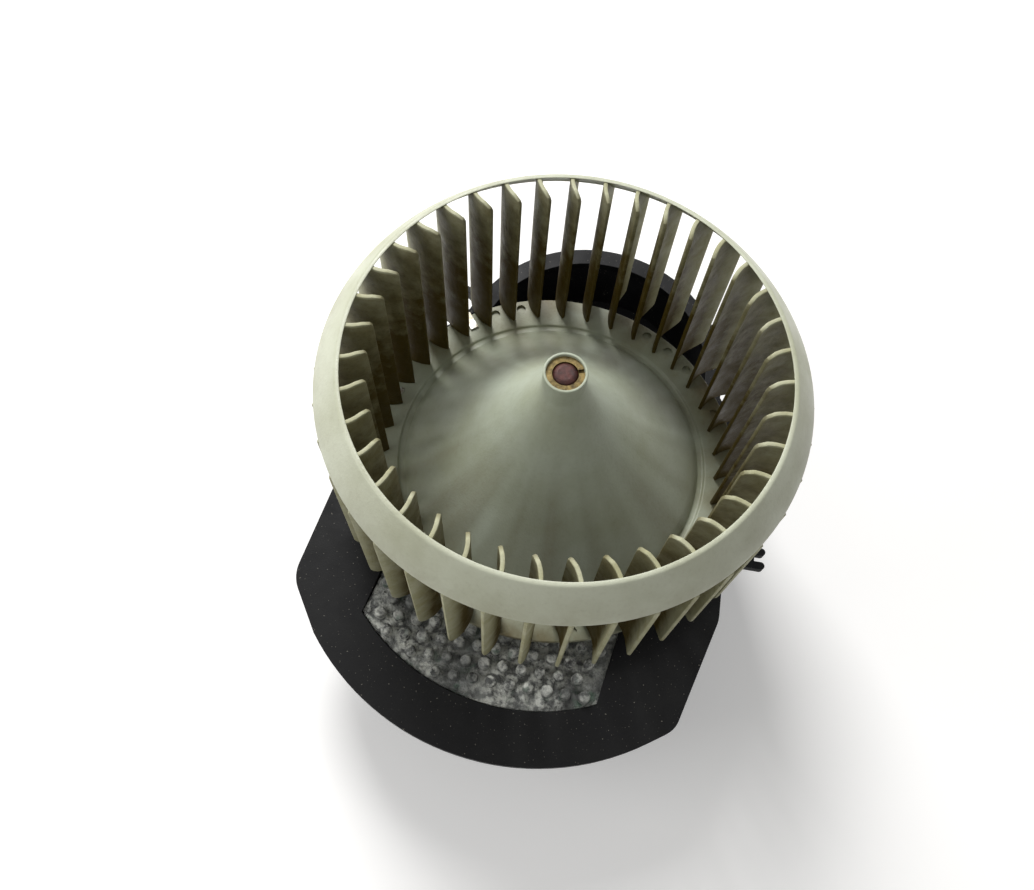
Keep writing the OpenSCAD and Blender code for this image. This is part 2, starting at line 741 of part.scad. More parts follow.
module regulator_cover() {
    floor_z = -cover_drop;
    up() color("#202022") difference() {
        union() {
            translate([0, 0, floor_z]) linear_extrude(sink_low - cover_ear_t - floor_z) difference() {
                sink_plan(sink_rim);
                sink_plan(sink_rim - wall_t);
            }
            translate([0, 0, sink_low - cover_ear_t]) linear_extrude(cover_ear_t) difference() {
                union() {
                    sink_plan(sink_rim);
                    ear_plan();
                }
                sink_plan(sink_rim - wall_t);
            }
            translate([0, 0, floor_z]) linear_extrude(wall_t) sink_plan(sink_rim);
            at(post_spots) translate([0, 0, floor_z + 1]) cylinder(r = 2.4, h = board_z - floor_z - 1);
            plug_frame() translate([sink_rim - wall_t, -plug_w / 2, -plug_h / 2])
                cube([plug_len, plug_w, plug_h]);
        }
        plug_frame() translate([sink_rim, -plug_w / 2 + plug_wall, -plug_h / 2 + plug_wall])
            cube([plug_len, plug_w - 2 * plug_wall, plug_h - 2 * plug_wall]);
        plug_frame() for (y = pin_places) translate([-2, y - 1.55, -0.5]) cube([8, 3.1, 1]);
        at(sink_spots) translate([0, 0, sink_low - cover_ear_t - 1])
            cylinder(r = sink_screw_r, h = cover_ear_t + 2);
        at([for (a = lead_angles) lead_out * [cos(a), sin(a)]]) translate([0, 0, floor_z - 1])
            cylinder(r = lead_r + 0.2, h = wall_t + 2);
    }
}

module connector_terminals() {
    up() color("#b9bdbf") plug_frame() for (y = pin_places) {
        translate([-3.5, y - 1.4, -0.4]) cube([12.5, 2.8, 0.8]);
        translate([-3.5, y - 1.4, -0.4]) cube([0.8, 2.8, board_z - plug_z + 0.4]);
    }
}

module regulator_screws() {
    up() color("#c3c6c8") at(sink_spots) translate([0, 0, sink_low - 3]) rotate([180, 0, 0])
        small_screw(3 + sink_plate_t + gasket_t + 2, 3);
}

module motor_leads() {
    up() color("#7a1f1c") spin(lead_angles) {
        translate([can_r - 4.5, 0, lead_z]) rotate([0, 90, 0])
            cylinder(r = lead_r, h = lead_out - can_r + 4.5, $fn = 24);
        translate([lead_out, 0, lead_z]) sphere(r = lead_r, $fn = 24);
        translate([lead_out, 0, lead_z]) cylinder(r = lead_r, h = board_z - lead_z, $fn = 24);
    }
}

inlet_ring();
wheel_blades();
wheel_hub();
hub_insert();
balance_clips();
motor_shaft();
armature_core();
armature_windings();
commutator();
thrust_washers();
motor_can();
field_magnets();
upper_bearing();
lower_bearing();
bearing_retainers();
end_cap();
brush_card();
carbon_brushes();
brush_springs();
mounting_ring();
isolator_grommets();
motor_screws();
flange();
cooling_duct();
duct_screws();
heat_sink();
sink_gasket();
power_transistors();
control_board();
filter_capacitor();
suppression_choke();
regulator_cover();
connector_terminals();
regulator_screws();
motor_leads();
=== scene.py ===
"""Looks of a heater blower: a moulded fan wheel on a flange-mounted motor with its finned speed regulator."""
import json
import logging
import math
import random
from dataclasses import dataclass
from enum import Enum

import bmesh
import bpy
from mathutils import Matrix, Vector, noise


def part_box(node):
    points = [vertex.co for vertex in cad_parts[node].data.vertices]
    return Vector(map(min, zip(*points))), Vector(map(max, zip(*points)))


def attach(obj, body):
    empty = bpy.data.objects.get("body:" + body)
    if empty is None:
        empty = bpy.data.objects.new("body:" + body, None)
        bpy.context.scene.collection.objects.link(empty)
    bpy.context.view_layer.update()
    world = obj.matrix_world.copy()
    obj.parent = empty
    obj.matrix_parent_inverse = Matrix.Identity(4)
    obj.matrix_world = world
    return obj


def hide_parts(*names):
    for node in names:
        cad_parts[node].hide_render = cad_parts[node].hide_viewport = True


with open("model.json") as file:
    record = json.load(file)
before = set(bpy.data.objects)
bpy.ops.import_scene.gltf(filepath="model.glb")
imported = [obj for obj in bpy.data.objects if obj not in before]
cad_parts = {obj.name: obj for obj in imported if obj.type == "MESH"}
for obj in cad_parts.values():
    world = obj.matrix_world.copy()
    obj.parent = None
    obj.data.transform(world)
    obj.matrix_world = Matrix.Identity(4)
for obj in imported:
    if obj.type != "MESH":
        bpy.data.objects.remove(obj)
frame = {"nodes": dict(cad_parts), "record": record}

MM = 0.001

# Radii on the wheel where dust starts, stops or thickens, and where the painted blade shadows on the dome
# grow, in metres
SWEPT_R = 0.0752
DUSTY_R = 0.0665
GROOVE_R = 0.050
ANNULUS_R = 0.066
BOSS_FOOT_R = 0.012
MID_DOME_R = 0.040

LOG = logging.getLogger("blower")


def linear(code: str) -> tuple[float, float, float, float]:
    """Turn an sRGB hex colour into the linear colour that a shader wants.

    Args:
        code: Six hex digits, with or without a leading #.

    Returns:
        Linear red, green, blue and an alpha of 1.
    """
    parts = [int(code.lstrip("#")[i:i + 2], 16) / 255 for i in (0, 2, 4)]
    return tuple(p / 12.92 if p <= 0.04045 else ((p + 0.055) / 1.055) ** 2.4 for p in parts) + (1.0,)


def add(tree: bpy.types.NodeTree, kind: str, sockets: dict | None = None, **settings) -> bpy.types.Node:
    """Add one shader node with its settings, constants and links.

    Args:
        tree: The material's or world's node tree.
        kind: Blender's name for the node, without its ShaderNode prefix.
        sockets: Input name or index to a constant, or to the output socket that feeds it.
        settings: Properties of the node itself.

    Returns:
        The new node.
    """
    node = tree.nodes.new("ShaderNode" + kind)
    for key, value in settings.items():
        setattr(node, key, value)
    for key, value in (sockets or {}).items():
        if isinstance(value, bpy.types.NodeSocket):
            tree.links.new(value, node.inputs[key])
        else:
            node.inputs[key].default_value = value
    return node


def blank(name: str) -> bpy.types.Material:
    """Make a material with an empty node tree."""
    material = bpy.data.materials.new(name)
    material.use_nodes = True
    material.node_tree.nodes.clear()
    return material


@dataclass(frozen=True)
class Finish:
    """A surface with two mottled colours, uneven gloss and a fine grain. Sizes are in millimetres."""

    name: str
    base: str
    second: str
    patch_mm: float
    grain_mm: float
    roughness: float
    metallic: float = 0.0
    bump_mm: float = 0.05
    uneven: float = 0.12
    ior: float = 1.5
    specular: float = 0.5

    def patches(self, tree: bpy.types.NodeTree, size_mm: float, low: float, high: float, detail: float = 6.0
                ) -> bpy.types.NodeSocket:
        """Noise of a real size, stretched to run from 0 to 1 between two of its levels.

        Args:
            tree: The material's node tree.
            size_mm: Size of one patch.
            low: Level that becomes 0.
            high: Level that becomes 1.
            detail: Octaves of finer noise.

        Returns:
            The stretched value.
        """
        place = add(tree, "TexCoord").outputs["Object"]
        cloud = add(tree, "TexNoise", {"Vector": place, "Scale": 1 / (size_mm * MM), "Detail": detail,
                                       "Roughness": 0.6})
        return add(tree, "MapRange", {"Value": cloud.outputs["Fac"], "From Min": low, "From Max": high}
                   ).outputs["Result"]

    def colour(self, tree: bpy.types.NodeTree) -> bpy.types.NodeSocket:
        """The two colours, mixed in patches."""
        share = self.patches(tree, self.patch_mm, 0.38, 0.66)
        return add(tree, "Mix", {"Factor": share, 6: linear(self.base), 7: linear(self.second)},
                   data_type="RGBA").outputs[2]

    def height(self, tree: bpy.types.NodeTree) -> bpy.types.NodeSocket:
        """The fine grain that the bump follows."""
        return self.patches(tree, self.grain_mm, 0.3, 0.7, 3.0)

    def build(self) -> bpy.types.Material:
        """Make the material.

        Returns:
            A material whose colour, roughness and bump come from noise in object space.
        """
        material = blank(self.name)
        tree = material.node_tree
        gloss = add(tree, "MapRange", {"Value": self.patches(tree, self.patch_mm * 0.6, 0.3, 0.7),
                                       "To Min": max(0.05, self.roughness - self.uneven),
                                       "To Max": min(1.0, self.roughness + self.uneven)})
        bump = add(tree, "Bump", {"Height": self.height(tree), "Distance": self.bump_mm * MM,
                                  "Strength": 0.6})
        shader = add(tree, "BsdfPrincipled", {"Base Color": self.colour(tree), "Metallic": self.metallic,
                                              "Roughness": gloss.outputs["Result"], "IOR": self.ior,
                                              "Specular IOR Level": self.specular,
                                              "Normal": bump.outputs["Normal"]})
        add(tree, "OutputMaterial", {"Surface": shader.outputs["BSDF"]})
        return material


class Zone(Enum):
    """Which part of the wheel a moulded surface belongs to: each gathers dust in its own way, and the hub
    also carries painted blade shadows.
    """

    RING = "ring"
    HUB = "hub"
    BLADES = "blades"


@dataclass(frozen=True)
class AgedIvoryPlastic(Finish):
    """Ivory polypropylene, moulded satin, that years of air have stained olive brown; on the hub the same
    brown also paints the blades' shadows.
    """

    dust_and_shade_colour: str = "#5a4e25"
    zone: Zone = Zone.RING
    foot_z: float = 0.063
    top_z: float = 0.1354

    def polar(self, tree: bpy.types.NodeTree) -> tuple[bpy.types.NodeSocket, bpy.types.NodeSocket]:
        """Distance from the spin axis and height, both in metres."""
        place = add(tree, "SeparateXYZ", {0: add(tree, "TexCoord").outputs["Object"]})
        flat = add(tree, "CombineXYZ", {0: place.outputs[0], 1: place.outputs[1]})
        radius = add(tree, "VectorMath", {0: flat.outputs[0]}, operation="LENGTH")
        return radius.outputs["Value"], place.outputs[2]

    def painted_blade_shadows(self, tree: bpy.types.NodeTree, count: float) -> bpy.types.NodeSocket:
        """Soft streaks that run outwards from the axis: painted shadows of the blades falling across the
        dome.
        """
        place = add(tree, "SeparateXYZ", {0: add(tree, "TexCoord").outputs["Object"]})
        flat = add(tree, "CombineXYZ", {0: place.outputs[0], 1: place.outputs[1]})
        way = add(tree, "VectorMath", {0: flat.outputs[0]}, operation="NORMALIZE")
        cloud = add(tree, "TexNoise", {"Vector": way.outputs[0], "Scale": count, "Detail": 1.0})
        return add(tree, "MapRange", {"Value": cloud.outputs["Fac"], "From Min": 0.36, "From Max": 0.66}
                   ).outputs["Result"]

    def blade_soil(self, tree: bpy.types.NodeTree) -> bpy.types.NodeSocket:
        """Dust on a blade: thicker towards its foot and its inner edge, with a clean tip."""
        radius, height = self.polar(tree)
        low = add(tree, "MapRange", {"Value": height, "From Min": self.top_z - 0.001,
                                     "From Max": self.foot_z + 0.1 * (self.top_z - self.foot_z),
                                     "To Min": 0.6, "To Max": 1.35})
        inward = add(tree, "MapRange", {"Value": radius, "From Min": SWEPT_R, "From Max": DUSTY_R,
                                        "To Min": 0.26, "To Max": 1.0}, interpolation_type="SMOOTHSTEP")
        tip = add(tree, "MapRange", {"Value": height, "From Min": self.top_z - 0.0016,
                                     "From Max": self.top_z - 0.0007, "To Min": 1.0, "To Max": 0.12})
        part = add(tree, "Math", {0: low.outputs[0], 1: inward.outputs[0]}, operation="MULTIPLY")
        part = add(tree, "Math", {0: part.outputs[0], 1: tip.outputs[0]}, operation="MULTIPLY")
        cloud = self.patches(tree, 7.0, 0.22, 0.62)
        lift = add(tree, "MapRange", {"Value": cloud, "To Min": 0.62, "To Max": 1.1})
        return add(tree, "Math", {0: part.outputs[0], 1: lift.outputs[0]}, operation="MULTIPLY",
                   use_clamp=True).outputs[0]

    def hub_dust_and_painted_shadow(self, tree: bpy.types.NodeTree) -> bpy.types.NodeSocket:
        """Dust patches on the annulus, and faint painted shadows of the blades streaked down the dome."""
        radius = self.polar(tree)[0]
        rim = add(tree, "MapRange", {"Value": radius, "From Min": GROOVE_R, "From Max": ANNULUS_R,
                                     "To Min": 0.0, "To Max": 0.75}, interpolation_type="SMOOTHSTEP")
        spread = add(tree, "MapRange", {"Value": radius, "From Min": BOSS_FOOT_R, "From Max": MID_DOME_R,
                                        "To Min": 0.05, "To Max": 0.42}, interpolation_type="SMOOTHSTEP")
        # Painted shade: the blades' shadows streaked down the dome, stronger away from the boss.
        blade_shadow_streaks = add(tree, "Math", {0: self.painted_blade_shadows(tree, 4.0), 1: spread.outputs[0]}, operation="MULTIPLY")
        whole = add(tree, "Math", {0: rim.outputs[0], 1: self.patches(tree, 16.0, 0.3, 0.65)},
                    operation="MULTIPLY")
        return add(tree, "Math", {0: whole.outputs[0], 1: blade_shadow_streaks.outputs[0]}, operation="ADD",
                   use_clamp=True).outputs[0]

    def ring_lower_edge_tint(self, tree: bpy.types.NodeTree) -> bpy.types.NodeSocket:
        """A faint brown tint on the ring that grows towards its lower edge."""
        edge = add(tree, "MapRange", {"Value": self.polar(tree)[1], "From Min": self.top_z - 0.002,
                                      "From Max": self.top_z - 0.0115, "To Min": 0.02, "To Max": 0.34})
        cloud = self.patches(tree, 18.0, 0.42, 0.7)
        return add(tree, "Math", {0: edge.outputs[0], 1: cloud}, operation="MULTIPLY",
                   use_clamp=True).outputs[0]

    def dust_and_painted_shade(self, tree: bpy.types.NodeTree) -> bpy.types.NodeSocket:
        """How much dust lies on each spot, from 0 to 1; on the hub this also holds painted blade shadows."""
        ways = {Zone.BLADES: self.blade_soil, Zone.HUB: self.hub_dust_and_painted_shadow, Zone.RING: self.ring_lower_edge_tint}
        return ways[self.zone](tree)

    def colour(self, tree: bpy.types.NodeTree) -> bpy.types.NodeSocket:
        """Clean and faded ivory in patches, with the dust on top, and on the hub painted blade shadows too.
        """
        clean = Finish.colour(self, tree)
        fine = self.patches(tree, 1.3, 0.52, 0.78, 2.0)
        flecks = add(tree, "Math", {0: fine, 1: 0.10}, operation="MULTIPLY")
        # On the hub this share also holds painted shadows of the blades.
        dust_and_shade_share = add(tree, "Math", {0: self.dust_and_painted_shade(tree), 1: flecks.outputs[0]}, operation="ADD", use_clamp=True)
        return add(tree, "Mix", {"Factor": dust_and_shade_share.outputs[0], 6: clean, 7: linear(self.dust_and_shade_colour)},
                   data_type="RGBA").outputs[2]


@dataclass(frozen=True)
class OxidisedAluminium(Finish):
    """Die-cast aluminium under a crust of white and grey oxide, with bare dark patches and a little green."""

    crust: str = "#cfd0c8"
    green: str = "#4f6a58"

    def colour(self, tree: bpy.types.NodeTree) -> bpy.types.NodeSocket:
        """Bare grey metal, with pale crust in small blots and a greenish stain in places."""
        bare = Finish.colour(self, tree)
        blots = self.patches(tree, 2.6, 0.42, 0.58, 8.0)
        large = self.patches(tree, 22.0, 0.30, 0.52, 2.0)
        share = add(tree, "Math", {0: blots, 1: large}, operation="MULTIPLY", use_clamp=True)
        pale = add(tree, "Mix", {"Factor": share.outputs[0], 6: bare, 7: linear(self.crust)},
                   data_type="RGBA")
        stain = self.patches(tree, 9.0, 0.58, 0.74, 3.0)
        return add(tree, "Mix", {"Factor": stain, 6: pale.outputs[2], 7: linear(self.green)},
                   data_type="RGBA").outputs[2]


@dataclass(frozen=True)
class SpeckledBlackPlastic(Finish):
    """Black glass-filled nylon, satin, with pale dust specks that are drawn coarse enough to show."""

    speck: str = "#6d6a62"

    def colour(self, tree: bpy.types.NodeTree) -> bpy.types.NodeSocket:
        """Near-black in patches, with dust specks."""
        black = Finish.colour(self, tree)
        dots = self.patches(tree, 0.9, 0.70, 0.78, 1.0)
        return add(tree, "Mix", {"Factor": dots, 6: black, 7: linear(self.speck)},
                   data_type="RGBA").outputs[2]


# The wheel's plastic keeps its pale green-ivory where air sweeps it, and browns where dust settles.
RING_IVORY = AgedIvoryPlastic("ivory_polypropylene_ring", "#c9ccb6", "#b4b69c", 26, 0.8, 0.42, dust_and_shade_colour="#6f6338")
# On the hub the brown tint also paints the blades' shadows as streaks down the dome.
HUB_IVORY = AgedIvoryPlastic("ivory_polypropylene_hub", "#b3bba8", "#a2a88f", 24, 0.9, 0.46, dust_and_shade_colour="#6a6040",
                             zone=Zone.HUB)
BLADE_IVORY = AgedIvoryPlastic("ivory_polypropylene_blades", "#c4c4a6", "#adab86", 9, 0.7, 0.55,
                               bump_mm=0.08, specular=0.22, dust_and_shade_colour="#4a3c08", zone=Zone.BLADES)
# Satin black nylon: dark, with a broad soft sheen.
FLANGE_BLACK = SpeckledBlackPlastic("black_glass_filled_nylon", "#0b0b0c", "#131313", 18, 0.5, 0.5,
                                    bump_mm=0.04, specular=0.16)
COVER_BLACK = SpeckledBlackPlastic("black_moulded_nylon", "#101011", "#18181a", 14, 0.6, 0.55, bump_mm=0.05,
                                   specular=0.2)
# Cast aluminium: mottled grey under a dry, chalky crust.
SINK_CRUST = OxidisedAluminium("oxidised_cast_aluminium", "#50514f", "#868884", 5, 0.55, 0.72, metallic=0.25,
                               bump_mm=0.5, uneven=0.2)

FINISHES = {
    # Sintered sleeve, turned steel and pressed steel: mottled, with a soft metal sheen.
    "hub_insert": Finish("brass_plated_steel", "#837040", "#463919", 1.5, 0.5, 0.55, metallic=0.45,
                         bump_mm=0.12),
    "motor_shaft": Finish("rusted_steel", "#47201a", "#260f0b", 1.6, 0.35, 0.5, metallic=0.35, bump_mm=0.08),
    "balance_clips": Finish("spring_steel", "#b9bbb6", "#7a6a4c", 3, 0.5, 0.35, metallic=0.85, bump_mm=0.03),
    "armature_core": Finish("laminated_iron", "#5f6165", "#77797c", 3, 0.4, 0.4, metallic=0.9),
    "armature_windings": Finish("enamelled_copper", "#9c4f1e", "#b86a2e", 2, 0.5, 0.3, metallic=0.6,
                                bump_mm=0.2),
    "commutator": Finish("turned_copper", "#b3663a", "#8a4a28", 4, 0.3, 0.28, metallic=1.0),
    "thrust_washers": Finish("nylon_washer", "#d9d0ac", "#c9bd92", 3, 0.5, 0.5),
    "motor_can": Finish("zinc_plated_steel", "#9ea2a4", "#86898a", 14, 0.5, 0.34, metallic=0.9),
    "field_magnets": Finish("ferrite", "#3b3c40", "#48494c", 5, 0.4, 0.6, metallic=0.1),
    "upper_bearing": Finish("sintered_bronze", "#8f6f3c", "#a9854b", 2, 0.4, 0.4, metallic=0.9),
    "lower_bearing": Finish("sintered_bronze_lower", "#8f6f3c", "#a9854b", 2, 0.4, 0.4, metallic=0.9),
    "bearing_retainers": Finish("blued_spring_steel", "#6b6f75", "#565a61", 3, 0.4, 0.35, metallic=0.9),
    "end_cap": Finish("black_polyester", "#202023", "#2a2a2d", 12, 0.5, 0.5),
    "brush_card": Finish("brown_phenolic", "#6b4630", "#593825", 5, 0.5, 0.5),
    "carbon_brushes": Finish("carbon_graphite", "#2b2b2d", "#38383a", 2, 0.3, 0.55, metallic=0.2),
    "brush_springs": Finish("bronze_wire", "#b58f55", "#9a7640", 2, 0.3, 0.3, metallic=1.0),
    "mounting_ring": Finish("zinc_plated_bracket", "#8f9396", "#777b7d", 10, 0.5, 0.36, metallic=0.9),
    "isolator_grommets": Finish("black_rubber", "#1d1d1e", "#262627", 4, 0.5, 0.75),
    "motor_screws": Finish("zinc_screw_steel", "#c3c6c8", "#a9acae", 3, 0.3, 0.3, metallic=0.95),
    "duct_screws": Finish("zinc_screw_steel_small", "#bfc2c4", "#a5a8aa", 3, 0.3, 0.3, metallic=0.95),
    "regulator_screws": Finish("zinc_screw_steel_long", "#bcbfc1", "#a2a5a7", 3, 0.3, 0.3, metallic=0.95),
    "sink_gasket": Finish("closed_cell_foam", "#3d3c38", "#4c4a45", 3, 0.7, 0.9, bump_mm=0.2),
    "power_transistors": Finish("black_epoxy_package", "#1c1c1e", "#27272a", 3, 0.3, 0.45),
    "control_board": Finish("green_circuit_laminate", "#255235", "#2f6341", 4, 0.5, 0.35),
    "filter_capacitor": Finish("capacitor_sleeve", "#22305c", "#2a3a6b", 5, 0.5, 0.35),
    "suppression_choke": Finish("lacquered_copper_coil", "#8f4d24", "#aa6533", 2, 0.4, 0.35, metallic=0.5,
                                bump_mm=0.3),
    "connector_terminals": Finish("tinned_brass", "#c9c6b8", "#aeab9c", 2, 0.3, 0.3, metallic=1.0),
    "motor_leads": Finish("lead_insulation", "#232325", "#2e2e31", 5, 0.5, 0.5),
}


def body_of(node: str) -> str:
    """Name of the body that a CAD node belongs to."""
    return next(body for body, nodes in frame["record"]["behaviour"]["bodies"].items() if node in nodes)


def smooth(mesh: bpy.types.Mesh, degrees: float = 35.0) -> None:
    """Shade a mesh smooth, with every edge sharper than the angle kept crisp."""
    mesh.polygons.foreach_set("use_smooth", [True] * len(mesh.polygons))
    mesh.set_sharp_from_angle(angle=math.radians(degrees))


def make_piece(name: str, shape: bmesh.types.BMesh, material: bpy.types.Material, nodes: list[str],
               scale: float = MM) -> bpy.types.Object:
    """Turn a bmesh into a finished piece that stands for one or more CAD nodes.

    Args:
        name: Name of the piece.
        shape: The mesh, closed; it is freed here.
        material: Its only material.
        nodes: CAD nodes that the piece replaces.
        scale: Metres per unit of the bmesh.

    Returns:
        The object, riding on its nodes' body.
    """
    bmesh.ops.scale(shape, vec=Vector((scale,) * 3), verts=shape.verts)
    mesh = bpy.data.meshes.new(name)
    shape.to_mesh(mesh)
    shape.free()
    mesh.materials.append(material)
    smooth(mesh)
    piece = bpy.data.objects.new(name, mesh)
    bpy.context.scene.collection.objects.link(piece)
    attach(piece, body_of(nodes[0]))
    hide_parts(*nodes)
    LOG.info("%s: %d faces on %s", name, len(mesh.polygons), body_of(nodes[0]))
    return piece


def spun(profile: list[tuple[float, float]], steps: int, round_off: float) -> bmesh.types.BMesh:
    """Turn a closed half section about the Z axis into a ring and round its sharp edges.

    Args:
        profile: Radius and height of each corner, in millimetres.
        steps: Number of steps round the axis.
        round_off: Width of the rounding on sharp edges.

    Returns:
        A closed mesh with its faces outwards.
    """
    shape = bmesh.new()
    corners = [shape.verts.new((radius, 0, height)) for radius, height in profile]
    edges = [shape.edges.new((corners[i - 1], corners[i])) for i in range(len(corners))]
    bmesh.ops.spin(shape, geom=corners + edges, cent=(0, 0, 0), axis=(0, 0, 1), angle=math.tau, steps=steps,
                   use_merge=True)
    bmesh.ops.remove_doubles(shape, verts=shape.verts, dist=0.001)
    bmesh.ops.recalc_face_normals(shape, faces=shape.faces)
    sharp = [edge for edge in shape.edges if len(edge.link_faces) == 2
             and edge.calc_face_angle(0) > math.radians(38)]
    bmesh.ops.bevel(shape, geom=sharp, offset=round_off, affect="EDGES", segments=3, profile=0.5, material=-1)
    return shape


@dataclass
class FanWheel:
    """The moulded wheel: an inlet ring and a domed hub, joined by curved blades. Sizes are in millimetres."""

    height: float = 72.4
    radius: float = 75.0
    ring_flare: float = 8.0
    ring_height: float = 11.4
    ring_wall: float = 1.5
    annulus_radius: float = 66.3
    dome_radius: float = 52.0
    dome_power: float = 0.75
    wall: float = 2.0
    boss_radius: float = 6.8
    boss_drop: float = 7.4
    boss_length: float = 8.0
    core_radius: float = 10.4
    groove_width: float = 3.2
    groove_drop: float = 0.8
    insert_radius: float = 5.9
    insert_length: float = 22.0
    blade_count: int = 39
    blade_phase: float = 3.97
    blade_thickness: float = 1.3
    blade_curve: float = 14.0
    blade_depth: float = 16.2
    foot_round: float = 4.5
    nose_round: float = 2.6
    tip_drop: float = 0.4
    root: float = 0.1
    inset: float = 0.2
    pocket_share: float = 0.42
    pocket_ring: float = 63.0
    pocket_radius: float = 1.7
    pocket_depth: float = 1.1
    pocket_gaps: tuple[int, ...] = (2, 4, 5, 6, 11, 12, 13, 17, 30)
    steps: int = 156

    def __post_init__(self) -> None:
        """Take the wheel's top from the frame, and work out the heights that hang on it."""
        self.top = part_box("inlet_ring")[1].z / MM
        self.foot = self.top - self.height
        self.lip = self.radius - self.ring_flare
        self.boss_top = self.top - self.boss_drop
        self.pitch = 360 / self.blade_count

    def ring_x(self, share: float) -> float:
        """Outer radius of the inlet ring, a share of the way down from its lip."""
        return self.lip + self.ring_flare * (0.35 * math.sin(share * math.pi / 2) + 0.65 * share)

    def dome_z(self, radius: float) -> float:
        """Height of the dome's upper face at a radius."""
        dome_top = self.boss_top - self.boss_length
        edge = self.foot + self.groove_drop
        share = (radius - self.boss_radius) / (self.dome_radius - self.boss_radius)
        return dome_top - (dome_top - edge) * max(0.0, share) ** self.dome_power

    def ring(self) -> bmesh.types.BMesh:
        """The inlet ring, with a rounded lip and lower edge."""
        shares = [i / 12 for i in range(13)]
        outside = [(self.ring_x(s), self.top - self.ring_height * s) for s in shares]
        inside = [(r - self.ring_wall, z) for r, z in reversed(outside)]
        return spun(outside + inside, self.steps, 0.5)

    def hub(self) -> bmesh.types.BMesh:
        """The boss, the dome, the groove round it and the flat annulus that carries the blades."""
        groove = self.dome_radius + self.groove_width
        drop = self.groove_drop
        # The dome's wall is steep, so measured upright it is thicker
        under = self.wall * 1.35
        core = self.core_radius
        count = 26
        radii = [self.boss_radius + (self.dome_radius - self.boss_radius) * (i / count) ** 1.5
                 for i in range(count + 1)]
        profile = [(self.insert_radius, self.boss_top), (self.boss_radius, self.boss_top)]
        profile += [(r, self.dome_z(r)) for r in radii]
        profile += [(self.dome_radius + 0.6, self.foot - drop), (groove - 0.6, self.foot - drop),
                    (groove, self.foot), (self.annulus_radius, self.foot),
                    (self.annulus_radius, self.foot - self.wall), (groove, self.foot - self.wall),
                    (groove - 1, self.foot - self.wall - drop),
                    (self.dome_radius - 1, self.foot - self.wall - drop)]
        profile += [(r, self.dome_z(r) - under) for r in reversed(radii[:-1]) if r > core]
        low = self.boss_top - 1 - self.insert_length
        profile += [(core, self.dome_z(core) - under), (core, low), (self.insert_radius, low)]
        return spun(profile, self.steps, 0.35)

    def plan_point(self, radius: float) -> Vector:
        """Point on a blade's curve, in plan, at a distance from the axis."""
        centre = Vector((self.lip, -self.blade_curve, 0))
        reach = centre.length
        sine = (radius ** 2 - reach ** 2 - self.blade_curve ** 2) / (2 * self.blade_curve * reach)
        turn = math.atan2(self.blade_curve, self.lip) + math.asin(sine)
        return centre + self.blade_curve * Vector((math.sin(turn), math.cos(turn), 0))

    def blade_edges(self, height: float) -> tuple[float, float]:
        """Radii of a blade's inner and outer edge at a height."""
        tip = self.top - self.tip_drop
        inner = self.radius - self.blade_depth
        over = height - (tip - self.nose_round)
        if over > 0:
            inner += self.nose_round - math.sqrt(max(0.0, self.nose_round ** 2 - over ** 2))
        share = (self.top - height) / self.ring_height
        outer = self.ring_x(share) - self.ring_wall + self.root if share < 1 else self.radius - self.inset
        under = self.foot + self.foot_round - height
        if under > 0:
            outer -= self.foot_round - math.sqrt(max(0.0, self.foot_round ** 2 - under ** 2))
        return inner, outer

    def blade(self) -> bmesh.types.BMesh:
        """One blade: a sheet bent onto its curve, given its wall and soft edges."""
        across, up = 9, 22
        shape = bmesh.new()
        bmesh.ops.create_grid(shape, x_segments=across, y_segments=up, size=1)
        tip = self.top - self.tip_drop
        for corner in shape.verts:
            share = (corner.co.y + 1) / 2
            # Rows crowd towards the rounded foot and nose
            height = self.foot + (tip - self.foot) * (share - 0.11 * math.sin(math.tau * share))
            inner, outer = self.blade_edges(height)
            point = self.plan_point(inner + (outer - inner) * (corner.co.x + 1) / 2)
            corner.co = (point.x, point.y, height)
        bmesh.ops.recalc_face_normals(shape, faces=shape.faces)
        bmesh.ops.solidify(shape, geom=shape.faces[:], thickness=self.blade_thickness)
        bmesh.ops.recalc_face_normals(shape, faces=shape.faces)
        sharp = [edge for edge in shape.edges if len(edge.link_faces) == 2
                 and edge.calc_face_angle(0) > math.radians(60)]
        bmesh.ops.bevel(shape, geom=sharp, offset=0.3, affect="EDGES", segments=2, profile=0.5, material=-1)
        return shape

    def blades(self) -> bmesh.types.BMesh:
        """All the blades, turned about the axis."""
        one = self.blade()
        bmesh.ops.rotate(one, verts=one.verts, cent=(0, 0, 0),
                         matrix=Matrix.Rotation(math.radians(self.blade_phase), 3, "Z"))
        first = one.verts[:] + one.edges[:] + one.faces[:]
        for i in range(1, self.blade_count):
            copy = bmesh.ops.duplicate(one, geom=first)["geom"]
            corners = [item for item in copy if isinstance(item, bmesh.types.BMVert)]
            bmesh.ops.rotate(one, verts=corners, cent=(0, 0, 0),
                             matrix=Matrix.Rotation(math.radians(self.pitch * i), 3, "Z"))
        return one

